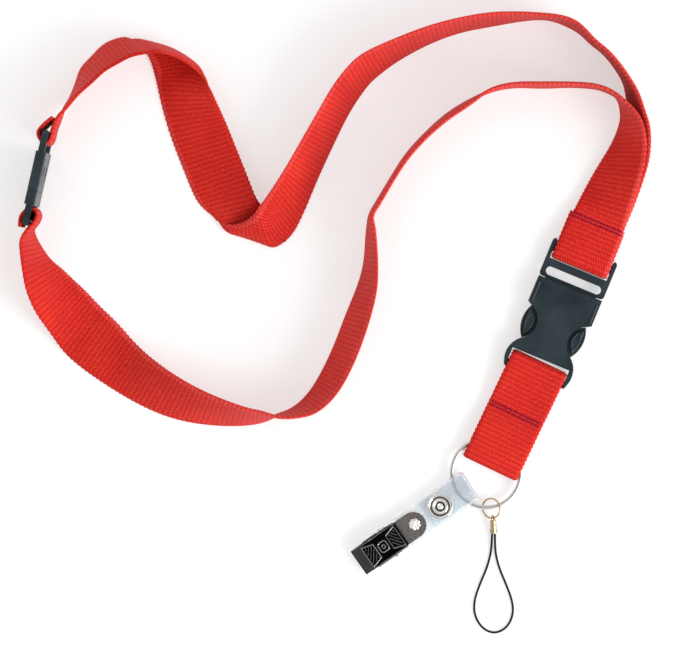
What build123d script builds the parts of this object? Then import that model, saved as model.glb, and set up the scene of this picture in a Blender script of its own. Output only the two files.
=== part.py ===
"""Neck lanyard: folded webbing neck loop, safety breakaway, side release buckle,
split ring with a strap clip and a phone loop.

Millimetres, +Z up. The lanyard lies on the plane Z = 0, with its origin under the
middle of its box. +X runs along its longest side.
"""
from build123d import *
import math
import os

# ---- driving dimensions ----
WEB_WIDTH = 20.0
WEB_THICK = 1.2
BUCKLE_PLACE = (79.9, 1.5)
BUCKLE_TURN = -22.5
BUCKLE_MID_Z = 3.0
COLLAR_HALF = 11.5
COLLAR_DEPTH = 9.3
HOUSING_THICK = 6.0
FRAME_HALF = 11.7
FRAME_TOP = 13.9
FRAME_THICK = 2.6
SLOT_HALF = 10.4
MALE_BAR = (9.3, 13.3)
FEMALE_BAR_Y = -31.1
LOOP_TURN = -3.0
FOLD_S = 35.5
RING_S = 37.7
RING_SIDE = -0.4
RING_OUTER = 12.3
RING_INNER = 10.95
RING_Z = 2.5
RING_COIL = 0.95
VINYL_WIDTH = 11.0
VINYL_THICK = 0.7
BADGE_PLACE = (46.4, -64.9)
BADGE_TURN = 215.0
SNAP_X = 12.9
RIVET_X = 23.4
PLATE_REAR_X = 28.7
PIN_X = 34.4
PIN_Z = 3.4
MOUTH_X = 46.6
JUMP_RADIUS = 3.35
JUMP_WIRE = 0.3
JUMP_CENTRE = (53.2, -73.0)
JUMP_TILT = 31.0
BREAK_PLACE = (-96.2, 53.1)
BREAK_TURN = -102.8
BREAK_HEIGHT = 24.0
BREAK_THICK = 3.6
PAD_TRAVEL = 1.0
PAD_GAP = 0.12
FIT = 0.05
GAP = 0.3

# ---- webbing routes: the two selvages, station by station, from the buckle out ----
UPPER_ROUTE = [
    ((96.3, 16.6, 1.95), (79.4, 23.6, 1.95)),
    ((97.5, 19.5, 1.95), (80.5, 26.5, 1.95)),
    ((98.3, 21.5, 1.95), (81.4, 28.5, 1.95)),
    ((100.8, 28, 9.2), (84.3, 32.5, 0.5)),
    ((103.6, 36, 11.1), (88.1, 39, 0.2)),
    ((105.9, 43.5, 13.3), (92, 44, 0.2)),
    ((106.5, 50, 15.2), (95.1, 49.5, 0)),
    ((106, 55.8, 17.4), (98, 54.8, 0)),
    ((104, 60.5, 19), (99.5, 63, 0)),
    ((102, 66.5, 20), (99, 68, 0)),
    ((99, 71.5, 20), (98, 72, 0)),
    ((95.5, 76.5, 20), (94.5, 77.5, 0)),
    ((91.5, 81, 20), (91, 81.5, 0)),
    ((87.5, 84, 20), (87, 84.5, 0)),
    ((84, 88, 20), (83.5, 88, 0)),
    ((80.5, 91, 20), (80, 90, 0)),
    ((75.5, 92.5, 20), (75.5, 92, 0)),
    ((70, 93, 20), (71, 93, 0)),
    ((63, 93.5, 20), (64, 92.5, 0)),
    ((52.5, 93.5, 20), (53.5, 90.5, 0)),
    ((41, 91.5, 19.5), (42.5, 88.5, 0)),
    ((30, 88.5, 19.5), (32, 84.5, 0)),
    ((18.5, 84, 19), (22, 79, 0)),
    ((11.5, 81, 18.5), (16, 74.5, 0)),
    ((7.5, 78.5, 17.5), (12, 71, 0)),
    ((4, 75, 17), (9, 67, 0)),
    ((-0.5, 69, 18), (7, 64, 0)),
    ((-4.5, 62, 18), (4, 59, 0)),
    ((-10, 52.5, 17.5), (-1, 48.5, 0)),
    ((-15.5, 43, 16.5), (-6, 37.5, 0)),
    ((-19, 37.5, 14.5), (-10, 27.5, 0)),
    ((-23, 31.5, 14), (-14, 19.5, 0)),
    ((-25, 29, 13), (-21, 16.5, 1.5), (-17.5, 17, 0.5)),
    ((-27, 26, 10.5), (-24.5, 17, 1), (-19.5, 20, 1)),
    ((-30.5, 23.5, 7), (-30, 19, 1), (-21.5, 25, 2)),
    ((-36, 22.5, 2.5), (-36, 21.5, 1), (-23, 28, 3.5)),
    ((-43.5, 27.5, 0), (-26, 31, 9.5)),
    ((-47, 31.5, 0), (-28.5, 37.5, 6.5)),
    ((-51, 41.5, 0), (-32.5, 47.5, 5.5)),
    ((-55.5, 53, 0), (-36.5, 57.5, 6)),
    ((-58.5, 63.5, 0), (-39.5, 64, 8)),
    ((-60, 70.5, 0), (-41.5, 68.5, 9)),
    ((-61, 74.5, 0), (-48, 76.5, 2.5), (-44, 72.5, 8)),
    ((-62, 78, 0), (-51.5, 80, 1.5), (-46.5, 75, 9)),
    ((-63.5, 81, 0), (-56.5, 83, 1.5), (-50.5, 78, 12)),
    ((-65.5, 83, 0), (-62, 84.5, 1.5), (-54, 79.5, 14.5)),
    ((-68, 84.5, 0), (-66.5, 85.5, 1.5), (-58.5, 80.5, 17)),
    ((-70.5, 86.5, 0), (-63, 80, 18.5)),
    ((-74, 86, 0), (-68, 79, 18.5)),
    ((-78.5, 84, 0), (-72.5, 76.5, 18.5)),
    ((-82.5, 79.5, 0), (-77, 74, 19)),
    ((-86, 76, 0), (-80.5, 70.5, 19.5)),
    ((-87.5, 70.5, 0), (-83, 68.5, 20)),
    ((-89.5, 65.5, 0), (-86, 66, 20)),
    ((-91.5, 62.5, 1), (-89.5, 61.5, 21)),
    ((-92.5, 58.5, 2), (-92.5, 58.5, 22)),
    ((-94, 55, 2), (-94, 55, 22)),
    ((-94.5, 52, 2), (-94.5, 52, 22)),
    ((-95.5, 50, 2), (-95.5, 50, 22)),
    ((-97, 50, 2), (-97, 50, 22)),
    ((-98.5, 51.5, 2), (-98.5, 51.5, 22)),
    ((-99, 53.5, 2), (-99, 53.5, 22)),
    ((-98, 55, 2), (-98, 55, 22)),
    ((-96, 57, 2), (-96, 57, 22)),
    ((-94, 58.5, 2), (-94, 58.5, 22)),
]

LOWER_ROUTE = [
    ((80.5, 26.5, 3.4), (97.5, 19.5, 3.4)),
    ((81.4, 28.5, 3.5), (98.3, 21.5, 3.7)),
    ((83.5, 32.5, 2.1), (100, 28, 12)),
    ((87, 39, 2), (102.5, 36, 13)),
    ((90, 44, 2), (104.5, 43.5, 15)),
    ((93.5, 49.5, 1), (105, 50, 16.5)),
    ((96, 54.5, 0.5), (104, 55.5, 18.5)),
    ((97.5, 59.5, 0), (102, 59.5, 19.5)),
    ((96.5, 66, 0), (98, 63.5, 20)),
    ((93, 68, 0), (93, 67.5, 20)),
    ((88.5, 69.5, 0), (87.5, 69.5, 20)),
    ((80, 70, 0), (79, 70, 20)),
    ((70.5, 69.5, 0), (69.5, 70, 20)),
    ((61, 70, 0), (60, 70, 20)),
    ((53, 68.5, 0), (52, 68, 20)),
    ((44.5, 64.5, 0), (45, 62.5, 20)),
    ((37.5, 60, 0), (38, 58, 20)),
    ((30.5, 53.5, 0), (31, 52, 20)),
    ((24.5, 47, 0), (25, 45.5, 20)),
    ((19.5, 39, 0), (20, 38, 20)),
    ((15, 31.5, 0), (15.5, 30, 20)),
    ((12, 26.5, 0), (12.5, 25.5, 20)),
    ((11.5, 23, 0), (13.5, 22, 20)),
    ((11, 19, 0), (14, 17.5, 20)),
    ((10.5, 10.5, 0), (14.5, 10, 19.5)),
    ((8.5, 3, 0), (14.5, 1, 19)),
    ((4, -7.5, 0), (12, -9.5, 18.5)),
    ((-0.5, -19.5, 0), (7.5, -22.5, 18)),
    ((-6, -30.5, 0), (1.5, -34, 18.5)),
    ((-10.5, -36.5, 0), (-5.5, -40.5, 19)),
    ((-15, -40, 0), (-12.5, -42, 20)),
    ((-19.5, -41.5, 0), (-19, -42, 20)),
    ((-24.5, -44, 0), (-24, -40, 20)),
    ((-31.5, -45, 0), (-29, -39, 19)),
    ((-40.5, -45, 0), (-37, -36, 18)),
    ((-49.5, -44, 0), (-44, -33, 16)),
    ((-58.5, -41.5, 0), (-51.5, -29, 14.5)),
    ((-68, -37, 0), (-59, -24, 12.5)),
    ((-77, -31.5, 0), (-66.5, -18, 3.5)),
    ((-85, -26, 0), (-73.5, -10, 1)),
    ((-91.5, -20.5, 0.5), (-79.5, -4.5, 0.5)),
    ((-96.5, -13, 3), (-84, 0.5, 0)),
    ((-100.5, -7, 10.5), (-88.5, 4.5, 0)),
    ((-103.5, 0.5, 14.5), (-92, 8, 0)),
    ((-104.5, 7.5, 17), (-96, 11, 0)),
    ((-105, 13.5, 18.5), (-99, 15, 0)),
    ((-105, 17.5, 20.5), (-101, 18.5, 1)),
    ((-102.5, 21, 21.5), (-102, 21.5, 1.5)),
    ((-100, 23.5, 22), (-100, 23.5, 2)),
    ((-99, 26, 22), (-99, 26, 2)),
    ((-100, 28, 22), (-100, 28, 2)),
    ((-102, 28, 22), (-102, 28, 2)),
    ((-103.5, 27, 22), (-103.5, 27, 2)),
    ((-105, 25, 22), (-105, 25, 2)),
    ((-105, 22, 22), (-105, 22, 2)),
]

# Phone cord, from the sleeve round the loop and back to it.
CORD_DIAMETER = 0.75
CORD_ROUTE = [
    (53.6, -80.3, 1.3), (53.45, -84.0, 0.8), (53.1, -88.5, 0.4), (51.7, -93.5, 0.4),
    (49.3, -99.0, 0.4), (47.4, -104.6, 0.4), (47.6, -109.6, 0.4), (50.4, -114.0, 0.4),
    (54.6, -115.6, 0.4), (58.8, -113.4, 0.4), (60.8, -108.8, 0.4), (60.3, -104.0, 0.4),
    (58.2, -98.6, 0.4), (55.9, -93.2, 0.4), (54.7, -88.3, 0.4), (54.5, -84.0, 0.8),
    (54.45, -80.3, 1.3),
]


# ---- helpers ----
def block(x, y, z):
    """Box between the given (low, high) pairs."""
    size = [high - low for low, high in (x, y, z)]
    middle = [(high + low) / 2 for low, high in (x, y, z)]
    return Pos(*middle) * Box(*size)


def rod(start, end, radius):
    """Round bar from one point to another."""
    line = Vector(*end) - Vector(*start)
    return Plane(origin=start, z_dir=line) * Cylinder(
        radius, line.length, align=(Align.CENTER, Align.CENTER, Align.MIN)
    )


def slab(outline, low, high):
    """Closed flat outline raised from one height to another."""
    return Pos(0, 0, low) * extrude(outline, amount=high - low)


def soft_edges(solid, radius, edges):
    """Fillet that leaves the solid as it was where the fillet can't be made."""
    try:
        return fillet(edges, radius)
    except Exception:
        return solid


def rung(station):
    """Three points across the webbing, the middle one halfway unless it is given."""
    if len(station) == 3:
        return [Vector(*point) for point in station]
    first, last = (Vector(*point) for point in station)
    return [first, (first + last) * 0.5, last]


def facets(points):
    """Triangles of a four-cornered patch."""
    a, b, c, d = points
    return [(a, b, c), (a, c, d)]


def ribbon(route, thickness=WEB_THICK):
    """Closed strip of webbing through the given stations, lifted where it would sink below Z = 0."""
    rungs = [rung(station) for station in route]
    upper = []
    lower = []
    for i, row in enumerate(rungs):
        before = rungs[max(i - 1, 0)]
        after = rungs[min(i + 1, len(rungs) - 1)]
        above = []
        below = []
        for j, point in enumerate(row):
            along = after[j] - before[j]
            if along.length < 1e-6:
                along = after[1] - before[1]
            across = row[min(j + 1, 2)] - row[max(j - 1, 0)]
            normal = along.cross(across).normalized() * (thickness / 2)
            above.append(point + normal)
            below.append(point - normal)
        lift = Vector(0, 0, max(0.0, -min(point.Z for point in above + below)))
        upper.append([point + lift for point in above])
        lower.append([point + lift for point in below])
    corners = []
    for i in range(len(rungs) - 1):
        for j in (0, 1):
            corners += facets((upper[i][j], upper[i][j + 1], upper[i + 1][j + 1], upper[i + 1][j]))
            corners += facets((lower[i][j], lower[i + 1][j], lower[i + 1][j + 1], lower[i][j + 1]))
        corners += facets((upper[i][0], upper[i + 1][0], lower[i + 1][0], lower[i][0]))
        corners += facets((upper[i][2], lower[i][2], lower[i + 1][2], upper[i + 1][2]))
    for i in (0, -1):
        for j in (0, 1):
            corners += facets((upper[i][j], upper[i][j + 1], lower[i][j + 1], lower[i][j]))
    faces = [Face(Wire.make_polygon(list(corner), close=True)) for corner in corners]
    return Solid(Shell(faces))


def flat_route(path, half):
    """Stations of a strip that runs in its own plane of length and height."""
    return [((-half, y, z), (half, y, z)) for y, z in path]


def placed(parts, location):
    return {name: location * solid for name, solid in parts.items()}


# ---- frames of the sub-assemblies ----
BUCKLE = Location((*BUCKLE_PLACE, 0), (0, 0, BUCKLE_TURN))
STRAP = BUCKLE * Location((0, FEMALE_BAR_Y, 0), (0, 0, LOOP_TURN))
RING = STRAP * Location((RING_SIDE, -RING_S, RING_Z))
BADGE = Location((*BADGE_PLACE, 0), (0, 0, BADGE_TURN))
BREAKAWAY = Location((*BREAK_PLACE, 0), (0, 0, BREAK_TURN))


# ---- side release buckle, drawn with its collar edge on Y = 0 ----
def male_frame():
    """Ladder frame with the webbing bar, a crossbar, an open slot and the guide tongue."""
    low = BUCKLE_MID_Z - FRAME_THICK / 2
    high = BUCKLE_MID_Z + FRAME_THICK / 2
    frame = block((-FRAME_HALF, FRAME_HALF), (0.35, FRAME_TOP), (low, high))
    frame = fillet(frame.edges().filter_by(Axis.Z), 1.2)
    webbing_slot = block((-SLOT_HALF, SLOT_HALF), (6.9, MALE_BAR[0]), (0, HOUSING_THICK))
    open_slot = Pos(0, 2.8, 0) * extrude(SlotOverall(2 * SLOT_HALF - 0.8, 2.9), HOUSING_THICK)
    frame = frame - webbing_slot - open_slot
    bar_cut = block((-SLOT_HALF, SLOT_HALF), (MALE_BAR[0], FRAME_TOP + 1), (0, HOUSING_THICK))
    bar_keep = block((-SLOT_HALF - 1, SLOT_HALF + 1), MALE_BAR, (low + 0.2, high - 0.2))
    bar_keep = fillet(bar_keep.edges().filter_by(Axis.X), 0.9)
    frame = frame - bar_cut + bar_keep
    neck = block((-9.3, 9.3), (-2.6, 0.6), (1.7, 4.3))
    tongue = block((-2.4, 2.4), (-19.0, -2.0), (2.1, 3.9))
    tongue = fillet(tongue.edges().filter_by(Axis.Z), 1.0)
    body = frame + neck + tongue
    for side in (-1, 1):
        body = body - Pos(side * 7.2, -2.6, BUCKLE_MID_Z) * Cylinder(1.0 + FIT, HOUSING_THICK)
    return body


def pad_outline(side, shrink=0.0):
    """Leaf outline of a release pad, between its bulged outer edge and its inner arc."""
    top = (side * 9.9, -10.2 - shrink)
    bottom = (side * 8.9, -21.8 + shrink)
    outer = ThreePointArc(top, (side * (11.2 - shrink), -16.3), bottom)
    inner = ThreePointArc(bottom, (side * (5.9 + shrink), -15.6), top)
    return make_face(outer + inner)


def latch_arm(side):
    """Sprung arm that ends in the pad under the finger."""
    low, high = 1.8, 4.2
    root = Pos(side * 7.2, -2.6, BUCKLE_MID_Z) * Cylinder(1.0, high - low)
    web = Polyline(
        (side * 6.7, -2.9), (side * 7.7, -2.9), (side * 8.6, -11.4), (side * 6.9, -13.2), close=True
    )
    arm = slab(make_face(web), low, high)
    pad = slab(pad_outline(side, PAD_GAP), 1.6, 4.4)
    dome = slab(pad_outline(side, PAD_TRAVEL + GAP), 0.7, 5.3)
    dome = soft_edges(dome, 0.4, dome.edges().group_by(Axis.Z)[-1])
    return root + arm + pad + dome


def housing_outline():
    """Hourglass seen from above, from the collar to the webbing bar."""
    right = Polyline((0, 0), (COLLAR_HALF, 0), (COLLAR_HALF, -COLLAR_DEPTH), (9.9, -10.2))
    right += ThreePointArc((9.9, -10.2), (5.9, -15.6), (8.9, -21.8))
    right += ThreePointArc((8.9, -21.8), (11.8, -26.5), (11.3, -31.2))
    right += ThreePointArc((11.3, -31.2), (10.9, -32.2), (9.9, -32.7))
    right += Line((9.9, -32.7), (0, -32.7))
    half = make_face(right + Line((0, -32.7), (0, 0)))
    return half + mirror(half, about=Plane.YZ)


def female_housing():
    """One moulded shell, open at the collar and at the pad windows."""
    body = slab(housing_outline(), 0.0, HOUSING_THICK)
    body = soft_edges(body, 0.8, body.edges().group_by(Axis.Z)[-1])
    cavity = block((-9.7, 9.7), (-22.6, 1), (1.5, 4.5))
    body = body - cavity
    for side in (-1, 1):
        body = body - slab(pad_outline(side), -1, HOUSING_THICK + 1)
    loop_top = block((-13, 13), (-40, -25.6), (4.6, 7))
    loop_bottom = block((-13, 13), (-40, -25.6), (-1, 1.4))
    slot = block((-SLOT_HALF, SLOT_HALF), (-29.7, -25.9), (-1, 7))
    body = body - loop_top - loop_bottom - slot
    body = body - block((-SLOT_HALF, SLOT_HALF), (-40, -29), (-1, 7))
    bar = block((-SLOT_HALF - 0.5, SLOT_HALF + 0.5), (-32.4, -29.8), (2.1, 3.9))
    return body + fillet(bar.edges().filter_by(Axis.X), 0.85)


# ---- lower strap: a doubled loop of webbing between the bar and the ring ----
def lower_strap():
    half = WEB_WIDTH / 2
    path = [
        (-13.0, 2.05), (-9.0, 1.6), (-4.0, 0.95), (0.0, 0.75), (2.4, 1.1), (3.8, 2.0), (4.05, 3.1),
        (3.7, 4.2), (2.6, 4.95), (0.6, 5.15), (-3.0, 5.0), (-8.0, 4.2), (-13.0, 3.4), (-17.5, 3.4),
        (-21.0, 3.9), (-24.0, 4.45), (-30.0, 4.5), (-33.4, 4.5), (-34.7, 4.1), (-35.3, 3.2),
        (-35.3, 1.9), (-34.8, 1.0), (-33.4, 0.65), (-30.0, 0.65), (-24.0, 0.65), (-17.5, 0.7),
        (-13.5, 0.7),
    ]
    return ribbon(flat_route(path, half))


def stitch_rows(rows, half, pitch, radius=0.2):
    """Rows of thread as short bars on the upper face of the webbing; a row is (Y, height of that face)."""
    threads = []
    count = int(2 * half / pitch)
    for y, face in rows:
        z = face + radius + GAP / 10
        for i in range(count):
            x = -half + (i + 0.5) * 2 * half / count
            threads.append(rod((x - pitch * 0.36, y, z), (x + pitch * 0.36, y, z), radius))
    return Compound(threads)


# ---- split ring ----
def split_ring():
    """Two flat coils joined by a step where the wire passes from one to the other."""
    coils = []
    for z in (-RING_COIL / 2 - 0.02, RING_COIL / 2 + 0.02):
        coil = Pos(0, 0, z) * (Cylinder(RING_OUTER, RING_COIL) - Cylinder(RING_INNER, RING_COIL))
        coils.append(fillet(coil.edges(), 0.25))
    middle = (RING_OUTER + RING_INNER) / 2
    step = Rot(0, 0, 60) * (Pos(middle, 0, 0) * Box(0.9, 3.0, RING_COIL))
    return coils[0] + step + coils[1]


# ---- strap clip, drawn with +X from the fold of its vinyl to its mouth ----
def vinyl_route(path):
    half = VINYL_WIDTH / 2
    return [((x, -half, z), (x, half, z)) for x, z in path]


def vinyl_strap():
    """Upper leg of the vinyl, with the fold that wraps the ring."""
    path = [
        (0.3, 1.6), (0.15, 2.5), (0.3, 3.4), (0.95, 4.15), (2.0, 4.45), (6.5, 4.4), (8.3, 3.57),
        (17.5, 3.55), (28.2, 3.55),
    ]
    strap = ribbon(vinyl_route(path), VINYL_THICK)
    return strap - disc(RIVET_X, 0, 9, 0.85 + FIT) - disc(SNAP_X, 0, 9, 1.15)


def vinyl_flap():
    """Lower leg of the vinyl, which peels down when the press stud is undone."""
    path = [(0.62, 1.16), (1.1, 0.8), (2.0, 0.55), (6.0, 0.55), (8.6, 0.95), (18.5, 0.95)]
    return ribbon(vinyl_route(path), VINYL_THICK)


def disc(x, low, high, radius):
    return Pos(x, 0, (low + high) / 2) * Cylinder(radius, high - low)


def snap_parts():
    """Press stud: cap and socket on the strap, stud and back on the flap."""
    cap = disc(SNAP_X, 3.95, 4.35, 4.35) - disc(SNAP_X, 4.15, 5.0, 3.7)
    cap += disc(SNAP_X, 4.0, 4.75, 2.7) - disc(SNAP_X, 4.5, 5.0, 2.1)
    cap += disc(SNAP_X, 4.1, 4.7, 1.1) + disc(SNAP_X, 3.0, 4.1, 1.1)
    socket = disc(SNAP_X, 1.75, 3.15, 3.4) - disc(SNAP_X, 1.0, 2.95, 1.9)
    socket -= disc(SNAP_X, 2.9, 3.3, 1.15)
    stud = disc(SNAP_X, 1.35, 1.6, 3.3) + disc(SNAP_X, 1.5, 2.6, 1.5)
    stud += disc(SNAP_X, 2.1, 2.6, 1.75)
    back = disc(SNAP_X, 0.15, 0.55, 3.6)
    return {"snap_cap": cap, "snap_socket": socket, "snap_stud": stud, "snap_back": back}


def clip_base_jaw():
    """Tail tab, step down, floor plate with two ears and the lower lip."""
    tab = block((24.0, 30.0), (-4.5, 4.5), (3.95, 4.45))
    tab += Pos(24.0, 0, 4.2) * Cylinder(4.5, 0.5)
    side = Polyline(
        (29.8, 3.95), (32.2, 0.4), (42.6, 0.4), (46.2, 1.75), (46.4, 2.15), (45.8, 2.15),
        (42.4, 0.9), (32.6, 0.9), (30.2, 4.45), (29.8, 4.45), close=True,
    )
    plate = Plane.XZ * make_face(side)
    plate = Pos(0, 4.8, 0) * extrude(plate, amount=9.6)
    jaw = tab + plate
    for side in (-1, 1):
        outer = side * 5.1
        inner = side * 4.75
        ear = block((32.3, 41.5), tuple(sorted((inner, outer))), (0.4, 3.2))
        ear += Pos(PIN_X, (inner + outer) / 2, PIN_Z) * Rot(90, 0, 0) * Cylinder(1.7, 0.35)
        bridge = block((32.6, 41.5), tuple(sorted((side * 4.6, outer))), (0.4, 0.9))
        jaw = jaw + ear + bridge
    jaw = jaw - rod((PIN_X, -7, PIN_Z), (PIN_X, 7, PIN_Z), 0.5)
    return jaw - disc(RIVET_X, 3, 6, 0.9)


def clip_lever_jaw():
    """Sprung plate over the base jaw, with a bent lip at the mouth and skirts at the pin."""
    side = Polyline(
        (PLATE_REAR_X, 6.0), (42.8, 6.0), (45.9, 2.7), (46.3, 2.3), (MOUTH_X, 2.6), (46.4, 3.1),
        (43.1, 6.5), (PLATE_REAR_X, 6.5), close=True,
    )
    lever = Plane.XZ * make_face(side)
    lever = Pos(0, 4.85, 0) * extrude(lever, amount=9.7)
    for sign in (-1, 1):
        skirt = block((31.4, 39.0), tuple(sorted((sign * 4.05, sign * 4.55))), (PIN_Z, 6.2))
        skirt += Pos(PIN_X, sign * 4.3, PIN_Z) * Rot(90, 0, 0) * Cylinder(1.5, 0.5)
        lever = lever + skirt
    return lever - rod((PIN_X, -7, PIN_Z), (PIN_X, 7, PIN_Z), 0.5 + FIT)


def clip_pin():
    shaft = rod((PIN_X, -5.5, PIN_Z), (PIN_X, 5.5, PIN_Z), 0.5)
    for side in (-1, 1):
        head = rod((PIN_X, side * 5.1, PIN_Z), (PIN_X, side * 5.6, PIN_Z), 0.85)
        shaft = shaft + head
    return shaft


def clip_spring():
    """Torsion spring round the pin, as a closed sleeve of coils with two legs."""
    coils = Part()
    turns = 6
    for i in range(turns):
        y = -2.4 + i * 0.96
        ring = Pos(PIN_X, y, PIN_Z) * Rot(90, 0, 0) * Torus(1.05, 0.26)
        coils = coils + ring
    core = rod((PIN_X, -2.4, PIN_Z), (PIN_X, 2.4, PIN_Z), 0.9)
    core = core - rod((PIN_X, -3, PIN_Z), (PIN_X, 3, PIN_Z), 0.62)
    upper_leg = rod((PIN_X, -2.4, PIN_Z + 1.05), (31.2, -2.4, 5.2), 0.26)
    lower_leg = rod((PIN_X, 2.4, PIN_Z - 1.05), (39.0, 2.4, 1.3), 0.26)
    return coils + core + upper_leg + lower_leg


def clip_rivet():
    """Rivet with a petalled head over the tab and a flat back under the vinyl."""
    rivet = disc(RIVET_X, 3.2 - 0.4, 4.7, 0.85) + disc(RIVET_X, 2.75, 3.15, 2.0)
    for i in range(8):
        petal = Pos(1.2, 0, 0) * extrude(SlotOverall(1.5, 0.7), 0.35)
        rivet = rivet + Pos(RIVET_X, 0, 4.47) * Rot(0, 0, 45 * i) * petal
    return rivet


# ---- phone loop ----
def jump_ring():
    outwards = math.degrees(math.atan2(JUMP_CENTRE[1] + 61.0, JUMP_CENTRE[0] - 51.2))
    tilted = Rot(0, 0, outwards) * Rot(JUMP_TILT, 0, 0) * Torus(JUMP_RADIUS, JUMP_WIRE)
    return Pos(*JUMP_CENTRE, RING_Z) * tilted


def crimp_sleeve():
    """Brass barrel pressed on the cord, with an eye round the jump ring."""
    eye_centre = (53.78, -76.3, RING_Z)
    eye = Plane(origin=eye_centre, z_dir=(0.845, 0.141, 0.515)) * Torus(0.78, 0.3)
    top = Vector(53.84, -77.05, 2.2)
    along = Vector(54.0, -81.3, 1.32) - top
    barrel = rod(top, top + along * 0.8, 1.05)
    collar = rod(top + along * 0.8, top + along, 1.3)
    bore = rod(top + along * 0.74, top + along * 1.1, 0.95)
    return eye + barrel + collar - bore


def phone_cord():
    points = [Vector(*point) for point in CORD_ROUTE]
    radii = []
    for before, at, after in zip(points, points[1:], points[2:]):
        shorter = min((at - before).length, (after - at).length)
        turn = (at - before).get_angle(after - at)
        radii.append(0.45 * shorter / math.tan(math.radians(turn) / 2))
    print("cord bend radii", [round(radius, 1) for radius in radii])
    path = FilletPolyline(*points, radius=radii)
    start = Plane(origin=path @ 0, z_dir=path % 0)
    tube = sweep(start * Circle(CORD_DIAMETER / 2), path=path)
    area = math.pi * CORD_DIAMETER**2 / 4
    print("cord length", round(path.length, 1), "volume ratio", round(tube.volume / (area * path.length), 4))
    return tube


# ---- breakaway, drawn along X from its upper bar, with its back on Y = 0 ----
def break_end(bar_x, body_x):
    """Two rails and the webbing bar at one end of a breakaway half."""
    end = Part()
    low, high = sorted((bar_x, body_x))
    for z in ((0.0, 1.5), (BREAK_HEIGHT - 1.5, BREAK_HEIGHT)):
        rail = block((low, high), (-1.1, 1.1), z)
        end = end + rail
    post = Pos(bar_x, 0, BREAK_HEIGHT / 2) * Cylinder(1.1, BREAK_HEIGHT)
    return end + post


def breakaway_socket():
    half = BREAK_THICK / 2
    body = block((6.3, 19.6), (-half, half), (0, BREAK_HEIGHT))
    body = fillet(body.edges().filter_by(Axis.X), 0.6)
    body = body - block((8.0, 20.0), (-1.3, 1.3), (1.6, BREAK_HEIGHT - 1.6))
    for z in (6.5, BREAK_HEIGHT - 6.5):
        body = body - block((11.0, 14.0), (-half - 1, half + 1), (z - 1.2, z + 1.2))
    return body + break_end(0.0, 6.4)


def breakaway_plug():
    half = BREAK_THICK / 2
    body = block((19.72, 24.5), (-half, half), (0, BREAK_HEIGHT))
    body = fillet(body.edges().filter_by(Axis.X), 0.6)
    for z in (6.5, BREAK_HEIGHT - 6.5):
        prong = block((9.5, 20.5), (-0.7, 0.7), (z - 2.6, z + 2.6))
        barb = Pos(12.4, 0, z) * Rot(90, 0, 0) * Cylinder(0.9, 2.2)
        body = body + prong + barb
    guide = block((8.6, 20.5), (-0.7, 0.7), (BREAK_HEIGHT / 2 - 1.5, BREAK_HEIGHT / 2 + 1.5))
    return body + guide + break_end(30.4, 24.4)


# ---- assembly ----
def neck_loop_tail():
    """Stations that take the lower strap round the male bar and back under itself."""
    path = [
        (24.5, 0.7), (20.0, 0.75), (14.0, 0.85), (10.0, 0.95), (8.5, 1.35), (7.75, 2.2), (7.7, 3.6),
        (8.2, 4.65), (9.6, 5.05), (13.0, 5.0), (17.0, 4.4), (22.0, 3.4),
    ]
    stations = []
    for y, z in path:
        ends = [BUCKLE * Pos(x, y, z) for x in (-WEB_WIDTH / 2, WEB_WIDTH / 2)]
        stations.append(tuple(tuple(end.position) for end in ends))
    return stations


def build():
    parts = {
        "neck_strap_upper": ribbon(UPPER_ROUTE),
        "neck_strap_lower": ribbon(neck_loop_tail() + LOWER_ROUTE),
    }
    buckle = {
        "male_frame": male_frame(),
        "latch_arm_left": latch_arm(-1),
        "latch_arm_right": latch_arm(1),
        "female_housing": female_housing(),
        "neck_seam": stitch_rows([(22.7, 4.0), (24.3, 4.05)], 8.5, 2.0),
    }
    parts.update(placed(buckle, BUCKLE))
    strap = {
        "lower_strap": lower_strap(),
        "lower_seam": stitch_rows([(-14.6, 4.0), (-16.2, 4.0)], 8.5, 2.0),
    }
    parts.update(placed(strap, STRAP))
    parts["split_ring"] = RING * split_ring()
    badge = {
        "vinyl_strap": vinyl_strap(),
        "vinyl_flap": vinyl_flap(),
        **snap_parts(),
        "clip_rivet": clip_rivet(),
        "clip_base_jaw": clip_base_jaw(),
        "clip_lever_jaw": clip_lever_jaw(),
        "clip_pin": clip_pin(),
        "clip_spring": clip_spring(),
    }
    parts.update(placed(badge, BADGE))
    breakaway = {"breakaway_socket": breakaway_socket(), "breakaway_plug": breakaway_plug()}
    parts.update(placed(breakaway, BREAKAWAY))
    parts["jump_ring"] = jump_ring()
    parts["crimp_sleeve"] = crimp_sleeve()
    parts["phone_cord"] = phone_cord()
    return parts


def main():
    os.makedirs("parts", exist_ok=True)
    for name, solid in build().items():
        export_step(solid, f"parts/{name}.step")
        box = solid.bounding_box()
        print(name, "volume", round(solid.volume, 1), "low", box.min, "high", box.max)


main()
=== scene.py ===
"""Look of the neck lanyard: ribbed webbing, satin plastic hardware, nickel ring, strap clip
and phone loop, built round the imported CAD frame. Lengths in this file are millimetres
until MM turns them into Blender's metres.
"""
import math

import bpy
from mathutils import Matrix, Vector


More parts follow.
